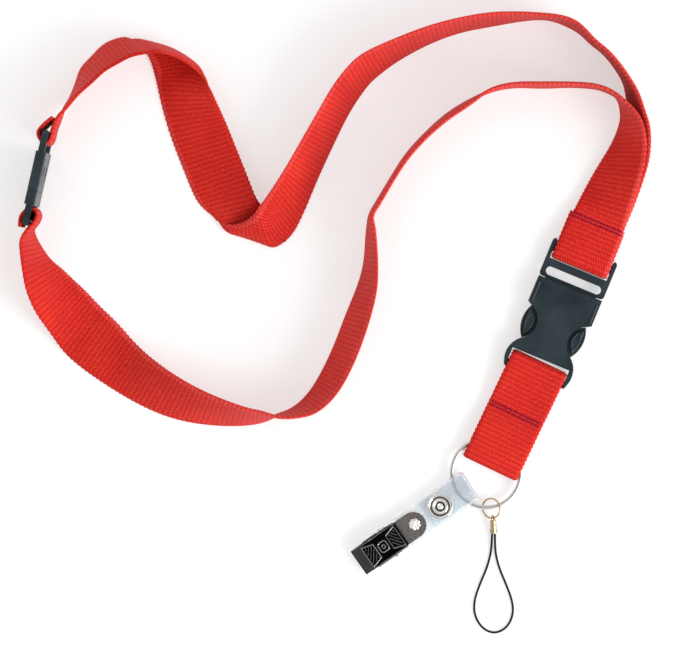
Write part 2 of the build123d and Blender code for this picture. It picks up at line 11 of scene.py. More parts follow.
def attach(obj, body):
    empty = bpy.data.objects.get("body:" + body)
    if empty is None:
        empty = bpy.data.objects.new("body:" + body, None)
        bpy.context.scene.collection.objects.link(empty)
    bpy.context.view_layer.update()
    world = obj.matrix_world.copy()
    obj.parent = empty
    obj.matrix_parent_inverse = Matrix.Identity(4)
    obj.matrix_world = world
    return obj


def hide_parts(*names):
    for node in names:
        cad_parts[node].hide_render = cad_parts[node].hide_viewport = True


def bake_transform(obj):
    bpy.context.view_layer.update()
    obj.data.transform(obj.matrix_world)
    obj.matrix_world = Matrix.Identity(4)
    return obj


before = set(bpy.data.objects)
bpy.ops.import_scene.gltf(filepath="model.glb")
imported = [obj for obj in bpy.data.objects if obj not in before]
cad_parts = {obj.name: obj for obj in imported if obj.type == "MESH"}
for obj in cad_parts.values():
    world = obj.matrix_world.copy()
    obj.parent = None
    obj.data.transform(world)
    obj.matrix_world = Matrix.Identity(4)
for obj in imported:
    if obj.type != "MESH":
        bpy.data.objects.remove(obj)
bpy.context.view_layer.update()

MM = 0.001
WEB_WIDTH = 20.0
WEB_THICK = 1.2
RUNG_STEP = 0.35
# width of the lighter edge band, a painted highlight on the webbing's raised edge
EDGE_HIGHLIGHT_WIDTH = 1.5
RIB_PITCH = 1.6
YARN_PITCH = 0.9
BUCKLE_PLACE = (79.9, 1.5)
BUCKLE_TURN = -22.5
FEMALE_BAR_Y = -31.1
LOOP_TURN = -3.0
RING_PLACE = (-0.4, -37.7, 2.5)
RING_OUTER = 12.3
RING_INNER = 10.95
BADGE_PLACE = (46.4, -64.9)
BADGE_TURN = 215.0
VINYL_WIDTH = 11.0
SNAP_X = 12.9
RIVET_X = 23.4
CORD_DIAMETER = 0.75
STITCH_COUNT = 9
SEAM_WIDTH = 18.4
COIL_START = 60
COIL_LEVEL = 0.48
PAD_PLACE = (8.55, -16.1, 5.3)
RIM_RADIUS = 0.24
LEVER_FRONT = 43.0
LEVER_TOP = 6.25
BOSS_X = 36.2
SKIRT_SIDE = 4.3
CAMERA_PLACE = (0.0054, -0.0103, 1.5)
CAMERA_LENS = 227.6

# ---- webbing routes: the two selvages, station by station, from the buckle out ----
UPPER_ROUTE = [
    ((96.3, 16.6, 1.95), (79.4, 23.6, 1.95)),
    ((97.5, 19.5, 1.95), (80.5, 26.5, 1.95)),
    ((98.3, 21.5, 1.95), (81.4, 28.5, 1.95)),
    ((100.8, 28, 9.2), (84.3, 32.5, 0.5)),
    ((103.6, 36, 11.1), (88.1, 39, 0.2)),
    ((105.9, 43.5, 13.3), (92, 44, 0.2)),
    ((106.5, 50, 15.2), (95.1, 49.5, 0)),
    ((106, 55.8, 17.4), (98, 54.8, 0)),
    ((104, 60.5, 19), (99.5, 63, 0)),
    ((102, 66.5, 20), (99, 68, 0)),
    ((99, 71.5, 20), (98, 72, 0)),
    ((95.5, 76.5, 20), (94.5, 77.5, 0)),
    ((91.5, 81, 20), (91, 81.5, 0)),
    ((87.5, 84, 20), (87, 84.5, 0)),
    ((84, 88, 20), (83.5, 88, 0)),
    ((80.5, 91, 20), (80, 90, 0)),
    ((75.5, 92.5, 20), (75.5, 92, 0)),
    ((70, 93, 20), (71, 93, 0)),
    ((63, 93.5, 20), (64, 92.5, 0)),
    ((52.5, 93.5, 20), (53.5, 90.5, 0)),
    ((41, 91.5, 19.5), (42.5, 88.5, 0)),
    ((30, 88.5, 19.5), (32, 84.5, 0)),
    ((18.5, 84, 19), (22, 79, 0)),
    ((11.5, 81, 18.5), (16, 74.5, 0)),
    ((7.5, 78.5, 17.5), (12, 71, 0)),
    ((4, 75, 17), (9, 67, 0)),
    ((-0.5, 69, 18), (7, 64, 0)),
    ((-4.5, 62, 18), (4, 59, 0)),
    ((-10, 52.5, 17.5), (-1, 48.5, 0)),
    ((-15.5, 43, 16.5), (-6, 37.5, 0)),
    ((-19, 37.5, 14.5), (-10, 27.5, 0)),
    ((-23, 31.5, 14), (-14, 19.5, 0)),
    ((-25, 29, 13), (-21, 16.5, 1.5), (-17.5, 17, 0.5)),
    ((-27, 26, 10.5), (-24.5, 17, 1), (-19.5, 20, 1)),
    ((-30.5, 23.5, 7), (-30, 19, 1), (-21.5, 25, 2)),
    ((-36, 22.5, 2.5), (-36, 21.5, 1), (-23, 28, 3.5)),
    ((-43.5, 27.5, 0), (-26, 31, 9.5)),
    ((-47, 31.5, 0), (-28.5, 37.5, 6.5)),
    ((-51, 41.5, 0), (-32.5, 47.5, 5.5)),
    ((-55.5, 53, 0), (-36.5, 57.5, 6)),
    ((-58.5, 63.5, 0), (-39.5, 64, 8)),
    ((-60, 70.5, 0), (-41.5, 68.5, 9)),
    ((-61, 74.5, 0), (-48, 76.5, 2.5), (-44, 72.5, 8)),
    ((-62, 78, 0), (-51.5, 80, 1.5), (-46.5, 75, 9)),
    ((-63.5, 81, 0), (-56.5, 83, 1.5), (-50.5, 78, 12)),
    ((-65.5, 83, 0), (-62, 84.5, 1.5), (-54, 79.5, 14.5)),
    ((-68, 84.5, 0), (-66.5, 85.5, 1.5), (-58.5, 80.5, 17)),
    ((-70.5, 86.5, 0), (-63, 80, 18.5)),
    ((-74, 86, 0), (-68, 79, 18.5)),
    ((-78.5, 84, 0), (-72.5, 76.5, 18.5)),
    ((-82.5, 79.5, 0), (-77, 74, 19)),
    ((-86, 76, 0), (-80.5, 70.5, 19.5)),
    ((-87.5, 70.5, 0), (-83, 68.5, 20)),
    ((-89.5, 65.5, 0), (-86, 66, 20)),
    ((-91.5, 62.5, 1), (-89.5, 61.5, 21)),
    ((-92.5, 58.5, 2), (-92.5, 58.5, 22)),
    ((-94, 55, 2), (-94, 55, 22)),
    ((-94.5, 52, 2), (-94.5, 52, 22)),
    ((-95.5, 50, 2), (-95.5, 50, 22)),
    ((-97, 50, 2), (-97, 50, 22)),
    ((-98.5, 51.5, 2), (-98.5, 51.5, 22)),
    ((-99, 53.5, 2), (-99, 53.5, 22)),
    ((-98, 55, 2), (-98, 55, 22)),
    ((-96, 57, 2), (-96, 57, 22)),
    ((-94, 58.5, 2), (-94, 58.5, 22)),
]

LOWER_ROUTE = [
    ((80.5, 26.5, 3.4), (97.5, 19.5, 3.4)),
    ((81.4, 28.5, 3.5), (98.3, 21.5, 3.7)),
    ((83.5, 32.5, 2.1), (100, 28, 12)),
    ((87, 39, 2), (102.5, 36, 13)),
    ((90, 44, 2), (104.5, 43.5, 15)),
    ((93.5, 49.5, 1), (105, 50, 16.5)),
    ((96, 54.5, 0.5), (104, 55.5, 18.5)),
    ((97.5, 59.5, 0), (102, 59.5, 19.5)),
    ((96.5, 66, 0), (98, 63.5, 20)),
    ((93, 68, 0), (93, 67.5, 20)),
    ((88.5, 69.5, 0), (87.5, 69.5, 20)),
    ((80, 70, 0), (79, 70, 20)),
    ((70.5, 69.5, 0), (69.5, 70, 20)),
    ((61, 70, 0), (60, 70, 20)),
    ((53, 68.5, 0), (52, 68, 20)),
    ((44.5, 64.5, 0), (45, 62.5, 20)),
    ((37.5, 60, 0), (38, 58, 20)),
    ((30.5, 53.5, 0), (31, 52, 20)),
    ((24.5, 47, 0), (25, 45.5, 20)),
    ((19.5, 39, 0), (20, 38, 20)),
    ((15, 31.5, 0), (15.5, 30, 20)),
    ((12, 26.5, 0), (12.5, 25.5, 20)),
    ((11.5, 23, 0), (13.5, 22, 20)),
    ((11, 19, 0), (14, 17.5, 20)),
    ((10.5, 10.5, 0), (14.5, 10, 19.5)),
    ((8.5, 3, 0), (14.5, 1, 19)),
    ((4, -7.5, 0), (12, -9.5, 18.5)),
    ((-0.5, -19.5, 0), (7.5, -22.5, 18)),
    ((-6, -30.5, 0), (1.5, -34, 18.5)),
    ((-10.5, -36.5, 0), (-5.5, -40.5, 19)),
    ((-15, -40, 0), (-12.5, -42, 20)),
    ((-19.5, -41.5, 0), (-19, -42, 20)),
    ((-24.5, -44, 0), (-24, -40, 20)),
    ((-31.5, -45, 0), (-29, -39, 19)),
    ((-40.5, -45, 0), (-37, -36, 18)),
    ((-49.5, -44, 0), (-44, -33, 16)),
    ((-58.5, -41.5, 0), (-51.5, -29, 14.5)),
    ((-68, -37, 0), (-59, -24, 12.5)),
    ((-77, -31.5, 0), (-66.5, -18, 3.5)),
    ((-85, -26, 0), (-73.5, -10, 1)),
    ((-91.5, -20.5, 0.5), (-79.5, -4.5, 0.5)),
    ((-96.5, -13, 3), (-84, 0.5, 0)),
    ((-100.5, -7, 10.5), (-88.5, 4.5, 0)),
    ((-103.5, 0.5, 14.5), (-92, 8, 0)),
    ((-104.5, 7.5, 17), (-96, 11, 0)),
    ((-105, 13.5, 18.5), (-99, 15, 0)),
    ((-105, 17.5, 20.5), (-101, 18.5, 1)),
    ((-102.5, 21, 21.5), (-102, 21.5, 1.5)),
    ((-100, 23.5, 22), (-100, 23.5, 2)),
    ((-99, 26, 22), (-99, 26, 2)),
    ((-100, 28, 22), (-100, 28, 2)),
    ((-102, 28, 22), (-102, 28, 2)),
    ((-103.5, 27, 22), (-103.5, 27, 2)),
    ((-105, 25, 22), (-105, 25, 2)),
    ((-105, 22, 22), (-105, 22, 2)),
]

CORD_ROUTE = [
    (53.6, -80.3, 1.3), (53.45, -84.0, 0.8), (53.1, -88.5, 0.4), (51.7, -93.5, 0.4),
    (49.3, -99.0, 0.4), (47.4, -104.6, 0.4), (47.6, -109.6, 0.4), (50.4, -114.0, 0.4),
    (54.6, -115.6, 0.4), (58.8, -113.4, 0.4), (60.8, -108.8, 0.4), (60.3, -104.0, 0.4),
    (58.2, -98.6, 0.4), (55.9, -93.2, 0.4), (54.7, -88.3, 0.4), (54.5, -84.0, 0.8),
    (54.45, -80.3, 1.3),
]


# ---- frames of the sub-assemblies ----
def turned(place, degrees):
    """Frame at a place on the floor plane, turned about the vertical."""
    return Matrix.Translation((*place, 0.0)) @ Matrix.Rotation(math.radians(degrees), 4, "Z")


def straight_run(transform, path):
    """Stations of webbing that runs straight in a frame, from its (y, z) path."""
    half = WEB_WIDTH / 2
    stations = []
    for y, z in path:
        left = transform @ Vector((-half, y, z))
        right = transform @ Vector((half, y, z))
        stations.append((tuple(left), tuple(right)))
    return stations


BUCKLE = turned(BUCKLE_PLACE, BUCKLE_TURN)
STRAP = BUCKLE @ turned((0, FEMALE_BAR_Y), LOOP_TURN)
RING = STRAP @ Matrix.Translation(RING_PLACE)
BADGE = turned(BADGE_PLACE, BADGE_TURN)


# ---- materials ----
class Shader:
    """Node tree of one material, with short calls for the nodes used here."""

    def __init__(self, name, **sockets):
        self.material = bpy.data.materials.new(name)
        self.material.use_nodes = True
        self.nodes = self.material.node_tree.nodes
        self.links = self.material.node_tree.links
        self.surface = self.nodes["Principled BSDF"]
        for key, value in sockets.items():
            self.surface.inputs[key.replace("_", " ")].default_value = value

    def node(self, kind, inputs=None, **settings):
        node = self.nodes.new(kind)
        for key, value in settings.items():
            setattr(node, key, value)
        for key, value in (inputs or {}).items():
            if isinstance(value, bpy.types.NodeSocket):
                self.links.new(value, node.inputs[key])
            else:
                node.inputs[key].default_value = value
        return node

    def math(self, operation, a, b=0.0):
        return self.node("ShaderNodeMath", {0: a, 1: b}, operation=operation).outputs[0]

    def position(self):
        return self.node("ShaderNodeNewGeometry").outputs["Position"]

    def noise(self, scale, detail, vector=None):
        inputs = {"Vector": vector or self.position(), "Scale": scale, "Detail": detail}
        return self.node("ShaderNodeTexNoise", inputs).outputs["Fac"]

    def stretched_noise(self, detail, scales):
        """Noise with a scale of its own along each axis."""
        spread = self.node("ShaderNodeVectorMath", {0: self.position(), 1: scales}, operation="MULTIPLY")
        return self.noise(1.0, detail, vector=spread.outputs[0])

    def ramp(self, value, low, high, colours):
        """Colour that goes evenly from the first to the last as value goes from low to high."""
        node = self.node("ShaderNodeValToRGB", {"Fac": value})
        elements = node.color_ramp.elements
        while len(elements) < len(colours):
            elements.new(0.5)
        for i, colour in enumerate(colours):
            elements[i].position = low + (high - low) * i / (len(colours) - 1)
            elements[i].color = (*colour, 1.0)
        return node.outputs["Color"]

    def between(self, value, low, high, start, end):
        inputs = {"Value": value, "From Min": low, "From Max": high, "To Min": start, "To Max": end}
        return self.node("ShaderNodeMapRange", inputs).outputs["Result"]

    def set(self, socket, value):
        self.links.new(value, self.surface.inputs[socket])

    def bump(self, height, distance, strength):
        inputs = {"Height": height, "Distance": distance, "Strength": strength}
        self.set("Normal", self.node("ShaderNodeBump", inputs).outputs["Normal"])


def webbing_material(name, dark, body, light):
    """Ribbed webbing: the UV map is millimetres across and along the strap."""
    s = Shader(name, Roughness=0.7, Sheen_Weight=0.05, Sheen_Roughness=0.5, Specular_IOR_Level=0.12)
    uv = s.node("ShaderNodeUVMap", uv_map="UVMap").outputs["UV"]
    parts = s.node("ShaderNodeSeparateXYZ", {0: uv})
    across, along = parts.outputs[0], parts.outputs[1]
    rows = s.math("DIVIDE", along, RIB_PITCH / 2)
    inside_row = s.math("FRACT", rows)
    stagger = s.math("MULTIPLY", s.math("MODULO", s.math("FLOOR", rows), 2.0), 0.5)
    slant = s.math("MULTIPLY", inside_row, 0.45)
    phase = s.math("ADD", s.math("ADD", s.math("DIVIDE", across, YARN_PITCH), stagger), slant)
    yarn = s.math("COSINE", s.math("MULTIPLY", phase, 2 * math.pi))
    yarn = s.math("MULTIPLY", yarn, s.math("SINE", s.math("MULTIPLY", inside_row, math.pi)))
    rib = s.math("COSINE", s.math("MULTIPLY", rows, math.pi))
    fuzz = s.math("SUBTRACT", s.noise(1400.0, 3.0), 0.5)
    blotch = s.math("SUBTRACT", s.noise(60.0, 2.0), 0.5)
    height = s.math("ADD", s.math("MULTIPLY", yarn, 0.5), s.math("MULTIPLY", rib, 0.3))
    s.bump(s.math("ADD", height, s.math("MULTIPLY", fuzz, 0.6)), 0.00015, 0.9)
    shade = s.math("ADD", s.math("MULTIPLY", yarn, 0.5), s.math("MULTIPLY", rib, 0.28))
    shade = s.math("ADD", shade, s.math("MULTIPLY", fuzz, 1.6))
    shade = s.math("ADD", shade, s.math("MULTIPLY", blotch, 0.9))
    shade = s.between(shade, -1.1, 1.1, 0.0, 1.0)
    s.set("Base Color", s.ramp(shade, 0.0, 1.0, (dark, body, light)))
    return s.material


def plastic_material(name, colour, worn, roughness):
    s = Shader(name, Roughness=roughness, Specular_IOR_Level=0.35)
    grain = s.noise(2600.0, 2.0)
    cloud = s.noise(90.0, 4.0)
    s.set("Base Color", s.ramp(cloud, 0.3, 0.75, (colour, worn)))
    s.set("Roughness", s.between(cloud, 0.3, 0.7, roughness - 0.06, roughness + 0.1))
    s.bump(grain, 0.00003, 0.35)
    return s.material


def metal_material(name, colour, tarnish, roughness):
    s = Shader(name, Metallic=1.0, Roughness=roughness)
    cloud = s.noise(140.0, 5.0)
    scratch = s.stretched_noise(3.0, (900.0, 5200.0, 900.0))
    s.set("Base Color", s.ramp(cloud, 0.35, 0.8, (colour, tarnish)))
    s.set("Roughness", s.between(scratch, 0.3, 0.75, roughness * 0.7, roughness + 0.12))
    s.bump(scratch, 0.00002, 0.12)
    return s.material


def vinyl_material(name):
    s = Shader(name, Roughness=0.2, Transmission_Weight=0.88, IOR=1.3, Coat_Weight=0.3)
    cloud = s.noise(220.0, 4.0)
    s.set("Base Color", s.ramp(cloud, 0.3, 0.75, ((0.78, 0.84, 0.89), (0.90, 0.94, 0.97))))
    s.set("Roughness", s.between(cloud, 0.3, 0.7, 0.12, 0.34))
    s.bump(s.noise(1500.0, 2.0), 0.00004, 0.4)
    return s.material


def thread_material(name, dark, light):
    s = Shader(name, Roughness=0.8, Specular_IOR_Level=0.1)
    ply = s.stretched_noise(2.0, (2200.0, 900.0, 2200.0))
    s.set("Base Color", s.ramp(ply, 0.3, 0.7, (dark, light)))
    s.bump(ply, 0.00008, 0.6)
    return s.material


def cord_material(name):
    """Fine braid, from a wave across the position axes."""
    s = Shader(name, Roughness=0.6, Specular_IOR_Level=0.2)
    inputs = {"Vector": s.position(), "Scale": 1500.0, "Distortion": 1.5}
    braid = s.node("ShaderNodeTexWave", inputs, bands_direction="DIAGONAL").outputs["Fac"]
    s.set("Base Color", s.ramp(braid, 0.2, 0.9, ((0.002, 0.002, 0.003), (0.012, 0.012, 0.014))))
    s.bump(braid, 0.00006, 0.7)
    return s.material


RED = webbing_material("red_webbing", (0.30, 0.004, 0.006), (0.55, 0.014, 0.010), (0.80, 0.055, 0.022))
# lighter copy of the webbing for one edge band: painted highlight where the raised edge faces up to the light
EDGE_HIGHLIGHT = webbing_material("red_painted_edge_highlight", (0.40, 0.012, 0.012), (0.62, 0.035, 0.03), (0.80, 0.11, 0.085))
THREAD = thread_material("seam_thread", (0.17, 0.003, 0.022), (0.33, 0.010, 0.045))
PLASTIC = plastic_material("black_plastic", (0.010, 0.018, 0.022), (0.022, 0.034, 0.040), 0.36)
NICKEL = metal_material("nickel", (0.88, 0.87, 0.85), (0.66, 0.65, 0.62), 0.1)
RING_NICKEL = metal_material("ring_nickel", (0.70, 0.70, 0.685), (0.52, 0.515, 0.50), 0.36)
# dark copy of the nickel: painted shade and painted dark reflection for the stud cap's grooves
PAINTED_GROOVE_SHADE = metal_material("painted_shade_nickel", (0.16, 0.16, 0.155), (0.09, 0.09, 0.088), 0.25)
STEEL = metal_material("clip_steel", (0.030, 0.031, 0.034), (0.055, 0.055, 0.06), 0.12)
PRESSED = metal_material("pressed_lines", (0.46, 0.46, 0.46), (0.30, 0.30, 0.30), 0.2)
TAB = metal_material("tab_steel", (0.52, 0.485, 0.45), (0.38, 0.355, 0.34), 0.3)
BRASS = metal_material("brass", (0.56, 0.42, 0.24), (0.38, 0.27, 0.15), 0.22)
VINYL = vinyl_material("vinyl")
CORD = cord_material("black_cord")


# ---- helpers ----
def piece(name, points, faces, body, slot, materials, transform=Matrix.Identity(4), smooth=True):
    """Mesh object in metres that rides on a body. points are millimetres in transform's frame."""
    mesh = bpy.data.meshes.new(name)
    mesh.from_pydata([MM * (transform @ Vector(point)) for point in points], [], faces)
    mesh.validate()
    if smooth:
        mesh.shade_smooth()
    else:
        mesh.shade_flat()
    for material in materials:
        mesh.materials.append(material)
    obj = bpy.data.objects.new(name, mesh)
    bpy.context.scene.collection.objects.link(obj)
    if body:
        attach(obj, body)
    return obj


def smooth_line(points, steps=12):
    """Points read from the NURBS spline that has the given control points."""
    curve = bpy.data.curves.new("route", "CURVE")
    curve.dimensions = "3D"
    curve.resolution_u = steps
    spline = curve.splines.new("NURBS")
    spline.points.add(len(points) - 1)
    for control, point in zip(spline.points, points):
        control.co = (*point, 1.0)
    spline.order_u = 3
    spline.use_endpoint_u = True
    holder = bpy.data.objects.new("route", curve)
    bpy.context.scene.collection.objects.link(holder)
    mesh = bpy.data.meshes.new_from_object(holder)
    line = [vertex.co.copy() for vertex in mesh.vertices]
    bpy.data.objects.remove(holder)
    bpy.data.curves.remove(curve)
    bpy.data.meshes.remove(mesh)
    return line


def even_rungs(lines, step):
    """Cuts matching lines into rungs that are step apart along the middle line."""
    middle = lines[1]
    travelled = [0.0]
    for before, after in zip(middle, middle[1:]):
        travelled.append(travelled[-1] + (after - before).length)
    count = max(2, round(travelled[-1] / step))
    rungs = []
    i = 0
    for k in range(count + 1):
        target = travelled[-1] * k / count
        while i < len(travelled) - 2 and travelled[i + 1] < target:
            i += 1
        part = (target - travelled[i]) / max(travelled[i + 1] - travelled[i], 1e-9)
        rungs.append((target, [line[i].lerp(line[i + 1], part) for line in lines]))
    return rungs


def strap_mesh(rungs, width, thickness, cells, ribbed):
    """Vertices, faces and UVs of a strip with rounded edges. A ribbed one has scalloped
    selvages and is lifted clear of the floor."""
    points = []
    uvs = []
    loop = [(2 * k / cells - 1, 1) for k in range(cells + 1)]
    loop += [(1 - 2 * k / cells, -1) for k in range(cells + 1)]
    for i, (along, (left, middle, right)) in enumerate(rungs):
        before = rungs[max(i - 1, 0)][1]
        after = rungs[min(i + 1, len(rungs) - 1)][1]
        wave = math.cos(2 * math.pi * along / RIB_PITCH) if ribbed else 0.0
        row = []
        for x, side in loop:
            bend = 1 - x * x
            spot = left.lerp(right, (x + 1) / 2) + (middle - (left + right) / 2) * bend
            slope = (right - left) / 2 - (middle - (left + right) / 2) * 2 * x
            run = (after[0].lerp(after[2], (x + 1) / 2)) - (before[0].lerp(before[2], (x + 1) / 2))
            if run.length < 1e-6:
                run = after[1] - before[1]
            normal = slope.cross(run).normalized() * -1
            outward = slope.normalized()
            edge = min(1.0, (1 - abs(x)) * width / 2 / (thickness * 0.6))
            swell = math.sqrt(max(0.0, 1 - (1 - edge) ** 2))
            half = thickness / 2 * (0.12 + 0.88 * swell) + 0.022 * wave * swell
            scallop = 0.16 * wave * (1 - edge) * math.copysign(1, x)
            row.append(spot + normal * (half * side) + outward * scallop)
        if ribbed:
            rise = Vector((0, 0, max(0.0, -min(point.z for point in row))))
            row = [point + rise for point in row]
        points += row
        uvs += [(x * width / 2, along) for x, _ in loop]
    size = len(loop)
    faces = []
    for i in range(len(rungs) - 1):
        for k in range(size):
            n = (k + 1) % size
            faces.append((i * size + k, i * size + n, (i + 1) * size + n, (i + 1) * size + k))
    faces.append(tuple(range(size - 1, -1, -1)))
    faces.append(tuple(range((len(rungs) - 1) * size, len(rungs) * size)))
    return points, faces, uvs


def strap(name, stations, body, highlight_side=0):
    """Ribbed webbing through the stations. Returns the piece and its smooth middle line.
    A station is (left, right), or (left, middle, right) where the strap is cupped."""
    full = []
    for station in stations:
        left, right = station[0], station[-1]
        if len(station) == 3:
            middle = station[1]
        else:
            middle = tuple((a + b) / 2 for a, b in zip(left, right))
        full.append((left, middle, right))
    lines = [smooth_line([station[k] for station in full]) for k in range(3)]
    rungs = even_rungs(lines, RUNG_STEP)
    points, faces, uvs = strap_mesh(rungs, WEB_WIDTH, WEB_THICK, cells=24, ribbed=True)
    obj = piece(name, points, faces, body, "red_webbing", (RED, EDGE_HIGHLIGHT))
    layer = obj.data.uv_layers.new(name="UVMap")
    for loop in obj.data.loops:
        layer.data[loop.index].uv = uvs[loop.vertex_index]
    # the band along the chosen edge, raised for most of each run, takes the lighter copy: painted highlight
    for polygon in obj.data.polygons:
        x = sum(uvs[v][0] for v in polygon.vertices) / len(polygon.vertices)
        polygon.material_index = int(highlight_side * x > WEB_WIDTH / 2 - EDGE_HIGHLIGHT_WIDTH)
    return obj, [(left + right) / 2 for _, (left, _, right) in rungs]


# ---- neck strap ----
# the end of the lower run goes round the buckle's male bar and back under itself
TAIL_PATH = [
    (24.5, 0.7), (20.0, 0.75), (14.0, 0.85), (10.0, 0.95), (8.5, 1.35), (7.75, 2.2), (7.7, 3.6),
    (8.2, 4.65), (9.6, 5.05), (13.0, 5.0), (17.0, 4.4), (22.0, 3.4),
]


upper, upper_line = strap("webbing_upper", UPPER_ROUTE, "neck_loop", highlight_side=-1)
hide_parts("neck_strap_upper")

lower, lower_line = strap("webbing_lower", straight_run(BUCKLE, TAIL_PATH) + LOWER_ROUTE, None, highlight_side=1)
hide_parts("neck_strap_lower")
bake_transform(lower)


# ---- doubled strap between the buckle and the ring ----
LOOP_PATH = [
    (-13.0, 2.05), (-9.0, 1.6), (-4.0, 0.95), (0.0, 0.75), (2.4, 1.1), (3.8, 2.0), (4.05, 3.1),
    (3.7, 4.2), (2.6, 4.95), (0.6, 5.15), (-3.0, 5.0), (-8.0, 4.2), (-13.0, 3.4), (-17.5, 3.4),
    (-21.0, 3.9), (-24.0, 4.45), (-30.0, 4.5), (-33.4, 4.5), (-34.7, 4.1), (-35.3, 3.2),
    (-35.3, 1.9), (-34.8, 1.0), (-33.4, 0.65), (-30.0, 0.65), (-24.0, 0.65), (-17.5, 0.7),
    (-13.5, 0.7),
]
loop_strap, _ = strap("webbing_loop", straight_run(STRAP, LOOP_PATH), "lower_strap_loop")
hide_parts("lower_strap")


def stitches(name, rows, transform, body, node):
    """Rows of short thread loops that dive into the webbing at both ends."""
    points = []
    faces = []
    sides = 8
    steps = 9
    for y, face in rows:
        for i in range(STITCH_COUNT):
            middle = -SEAM_WIDTH / 2 + (i + 0.5) * SEAM_WIDTH / STITCH_COUNT
            base = len(points)
            for k in range(steps + 1):
                t = k / steps
                x = middle + 0.95 * math.cos(math.pi * (1 - t))
                z = face - 0.12 + 0.34 * math.sin(math.pi * t) ** 0.6
                radius = 0.27 * (0.55 + 0.45 * math.sin(math.pi * t) ** 0.5)
                slant = 0.14 * math.cos(math.pi * t)
                for q in range(sides):
                    angle = 2 * math.pi * q / sides
                    points.append((x, y + slant + radius * math.cos(angle), z + radius * math.sin(angle)))
            for k in range(steps):
                for q in range(sides):
                    n = (q + 1) % sides
                    a = base + k * sides
                    faces.append((a + q, a + n, a + sides + n, a + sides + q))
            faces.append(tuple(base + q for q in range(sides - 1, -1, -1)))
            faces.append(tuple(base + steps * sides + q for q in range(sides)))
    obj = piece(name, points, faces, body, "thread", (THREAD,), transform)
    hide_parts(node)


stitches("stitching_neck", [(22.9, 4.0), (24.1, 4.05)], BUCKLE, "neck_loop", "neck_seam")
stitches("stitching_loop", [(-14.8, 4.0), (-16.0, 4.0)], STRAP, "lower_strap_loop", "lower_seam")


# ---- split ring: one wire that goes round twice and steps from coil to coil ----
def wire_coil():
    """Vertices and faces of the wire, whose section is a slightly squared oval."""
    sides = 16
    section = []
    wide = (RING_OUTER - RING_INNER) / 2
    tall = 0.46
    for q in range(sides):
        angle = 2 * math.pi * q / sides
        c = math.cos(angle)
        s = math.sin(angle)
        section.append((wide * math.copysign(abs(c) ** 0.8, c), tall * math.copysign(abs(s) ** 0.8, s)))
    steps = 384
    points = []
    for i in range(steps + 1):
        turn = 4 * math.pi * i / steps
        ease = min(1.0, max(0.0, (turn - 2 * math.pi + 0.35) / 0.7))
        level = -COIL_LEVEL + 2 * COIL_LEVEL * ease * ease * (3 - 2 * ease)
        start = math.radians(COIL_START) + turn
        for r, z in section:
            radius = (RING_OUTER + RING_INNER) / 2 + r
            points.append((radius * math.cos(start), radius * math.sin(start), level + z))
    faces = []
    for i in range(steps):
        a = i * sides
        for q in range(sides):
            n = (q + 1) % sides
            faces.append((a + q, a + sides + q, a + sides + n, a + n))
    faces.append(tuple(range(sides)))
    faces.append(tuple(range(steps * sides + sides - 1, steps * sides - 1, -1)))
    return points, faces


coil = piece("ring_coil", *wire_coil(), "key_ring", "nickel", (RING_NICKEL,), RING)
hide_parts("split_ring")


# ---- vinyl strap of the clip ----
def vinyl(name, path, body, node):
    """Leg of clear strap along an (x, z) path in the clip's frame."""
    half = VINYL_WIDTH / 2
    lines = [smooth_line([(x, y, z) for x, z in path]) for y in (-half, 0, half)]
    rungs = even_rungs(lines, 0.4)
    points, faces, _ = strap_mesh(rungs, VINYL_WIDTH, 0.7, cells=16, ribbed=False)
    obj = piece(name, points, faces, body, "vinyl", (VINYL,), BADGE)
    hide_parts(node)


vinyl(
    "vinyl_upper_leg",
    [(0.3, 1.6), (0.15, 2.5), (0.3, 3.4), (0.95, 4.15), (2.0, 4.45), (6.5, 4.4), (8.3, 3.57),
     (17.5, 3.55), (28.2, 3.55)],
    "badge_strap", "vinyl_strap",
)
vinyl(
    "vinyl_lower_leg",
    [(0.62, 1.16), (1.1, 0.8), (2.0, 0.55), (6.0, 0.55), (8.6, 0.95), (18.5, 0.95)],
    "snap_flap", "vinyl_flap",
)


# ---- press stud and rivet ----
def turned_disc(name, profile, x, node, petals=0.0, shaded=()):
    """Turned nickel button on the clip's middle line, from (radius, height) pairs. petals lifts
    its rim in eight lobes. shaded lists the radius bands of the grooves, whose upward faces get painted shade."""
    count = 64
    points = []
    for radius, height in profile:
        for k in range(count):
            angle = 2 * math.pi * k / count
            lobe = petals * math.cos(8 * angle) * min(1.0, radius / 1.2)
            reach = radius + lobe
            points.append((reach * math.cos(angle), reach * math.sin(angle), height + lobe * 0.5))
    faces = []
    for i in range(len(profile) - 1):
        for k in range(count):
            n = (k + 1) % count
            faces.append((i * count + k, (i + 1) * count + k, (i + 1) * count + n, i * count + n))
    faces.append(tuple(range(count - 1, -1, -1)))
    faces.append(tuple(range((len(profile) - 1) * count, len(profile) * count)))
    faces = [tuple(reversed(face)) for face in faces]
    transform = BADGE @ Matrix.Translation((x, 0, 0))
    obj = piece(name, points, faces, "badge_strap", "nickel", (NICKEL, PAINTED_GROOVE_SHADE), transform)
    hub = MM * transform.translation.to_2d()
    for polygon in obj.data.polygons:
        radius = (polygon.center.to_2d() - hub).length / MM
        # upward faces in the groove bands take the dark copy of the nickel: painted shade
        groove = any(low < radius < high for low, high in shaded)
        polygon.material_index = int(polygon.normal.z > 0.2 and groove)
    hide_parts(node)


